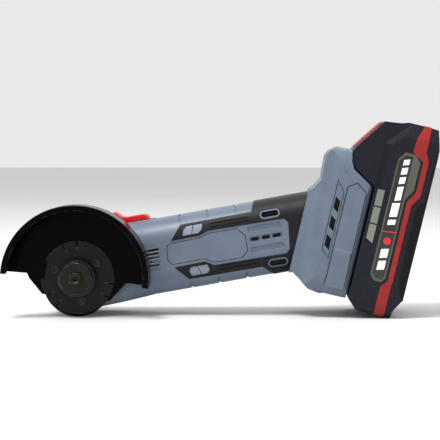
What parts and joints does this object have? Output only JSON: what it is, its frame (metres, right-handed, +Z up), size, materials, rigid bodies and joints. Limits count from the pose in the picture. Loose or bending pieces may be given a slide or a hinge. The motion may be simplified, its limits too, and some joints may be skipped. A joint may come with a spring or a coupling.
{
  "type": "cordless mini angle grinder",
  "caption": "Cordless mini angle grinder with a half guard, flange clamp for small cutting discs, slim barrel grip, slide switch and slide-on battery pack.",
  "frame": {"origin": "on the standing surface, under the middle of the bounding box of the tool as it stands on its guard and its battery pack", "axes": "+X from the head to the battery, +Y from the disc side to the far side (the spindle axis lies along Y), +Z up"},
  "size_m": [0.2658, 0.088, 0.12],
  "materials": {
    "housing_plastic": "fine textured, blue-grey",
    "dock_plastic": "fine textured, blue-grey",
    "soft_grip": "matte soft touch",
    "switch_red": "satin",
    "guard_steel": "gloss black enamel",
    "plate_steel": "black oxide",
    "black_screw": "black oxide",
    "flange_steel": "oiled dark steel",
    "inner_flange_steel": "zinc plated",
    "bright_steel": "machined",
    "gear_steel": "hardened",
    "cast_alloy": "die-cast",
    "zinc_screw": "zinc plated",
    "spring_steel": "drawn wire",
    "lock_plastic": "satin black",
    "inner_plastic": "moulded black",
    "magnet": "sintered ferrite",
    "laminations": "stacked sheet",
    "copper": "enamelled copper",
    "bronze": "sintered bronze",
    "carbon": "carbon",
    "circuit_board": "solder mask",
    "wire_cover": "insulation",
    "contact_metal": "tinned",
    "pack_plastic": "fine textured, navy black",
    "stripe_red": "satin red",
    "bumper_rubber": "squares pattern",
    "label_plate": "satin label",
    "gauge_lens": "frosted light windows",
    "latch_red": "satin",
    "cell_wrap": "shrink-wrapped cell",
    "nickel": "nickel strip"
  },
  "bodies": {
    "handle": {"left_housing": "housing_plastic", "right_housing": "housing_plastic", "left_grip": "soft_grip", "right_grip": "soft_grip", "housing_screws": "zinc_screw", "battery_dock": "dock_plastic", "terminal_block": "inner_plastic", "terminal_blades": "contact_metal", "gear_case": "cast_alloy", "gear_case_cover": "cast_alloy", "gear_case_screws": "zinc_screw", "retainer_plate": "plate_steel", "retainer_screws": "black_screw", "switch_unit": "inner_plastic", "motor_can": "bright_steel", "motor_magnets": "magnet", "motor_end_cap": "inner_plastic", "motor_rear_bush": "bronze", "brushes": "carbon", "brush_springs": "spring_steel", "control_board": "circuit_board", "motor_leads": "wire_cover", "battery_leads": "wire_cover", "spindle_front_bearing_outer": "bright_steel", "spindle_rear_bearing_outer": "bright_steel", "motor_front_bearing_outer": "bright_steel", "lock_spring": "spring_steel"},
    "spindle": {"spindle": "bright_steel", "crown_gear": "gear_steel", "gear_hub": "bright_steel", "inner_flange": "inner_flange_steel", "spindle_front_bearing_inner": "bright_steel", "spindle_rear_bearing_inner": "bright_steel"},
    "clamp": {"outer_flange": "flange_steel", "clamp_screw": "flange_steel"},
    "rotor": {"rotor_shaft": "bright_steel", "rotor_core": "laminations", "rotor_windings": "copper", "commutator": "copper", "cooling_fan": "inner_plastic", "motor_pinion": "gear_steel", "motor_front_bearing_inner": "bright_steel"},
    "guard": {"guard": "guard_steel"},
    "switch": {"switch_slider": "switch_red", "switch_rod": "inner_plastic"},
    "lock": {"lock_button": "lock_plastic"},
    "battery": {"battery_lower_case": "pack_plastic", "battery_upper_case": "pack_plastic", "battery_stripe": "stripe_red", "battery_bumper": "bumper_rubber", "battery_label": "label_plate", "charge_gauge": "gauge_lens", "battery_cells": "cell_wrap", "cell_holder": "inner_plastic", "cell_straps": "nickel", "battery_board": "circuit_board", "battery_contacts": "contact_metal", "battery_case_screws": "zinc_screw", "latch_spring": "spring_steel"},
    "latch": {"latch_button": "latch_red"}
  },
  "joints": [
    {"name": "spindle_spin", "type": "hinge", "parent": "handle", "child": "spindle", "pos_m": [-0.08791, 0.006, 0.02419], "axis": [0, 1, 0], "continuous": true},
    {"name": "motor_spin", "type": "hinge", "parent": "handle", "child": "rotor", "pos_m": [-0.08791, 0.006, 0.02419], "axis": [0.9845, 0, 0.1753], "continuous": true},
    {"name": "clamp_release", "type": "slide", "parent": "spindle", "child": "clamp", "axis": [0, -1, 0], "range_m": [0, 0.03]},
    {"name": "guard_turn", "type": "hinge", "parent": "handle", "child": "guard", "pos_m": [-0.08791, 0.006, 0.02419], "axis": [0, 1, 0], "range_deg": [-90, 90]},
    {"name": "switch_slide", "type": "slide", "parent": "handle", "child": "switch", "axis": [-0.9845, 0, -0.1753], "range_m": [0, 0.004], "stiffness_N_per_m": 300, "springref_m": -0.004},
    {"name": "lock_press", "type": "slide", "parent": "handle", "child": "lock", "axis": [0, -1, 0], "range_m": [0, 0.003], "stiffness_N_per_m": 500, "springref_m": -0.001, "deforming": ["lock_spring"]},
    {"name": "battery_slide", "type": "slide", "parent": "handle", "child": "battery", "axis": [0.2318, 0, 0.9728], "range_m": [0, 0.11]},
    {"name": "latch_press", "type": "slide", "parent": "battery", "child": "latch", "axis": [0.6612, 0, -0.7502], "range_m": [0, 0.0022], "stiffness_N_per_m": 600, "springref_m": -0.001, "deforming": ["latch_spring"]}
  ],
  "couplings": [
    {"joint": "motor_spin", "follows": "spindle_spin", "ratio": -1.5385}
  ]
}
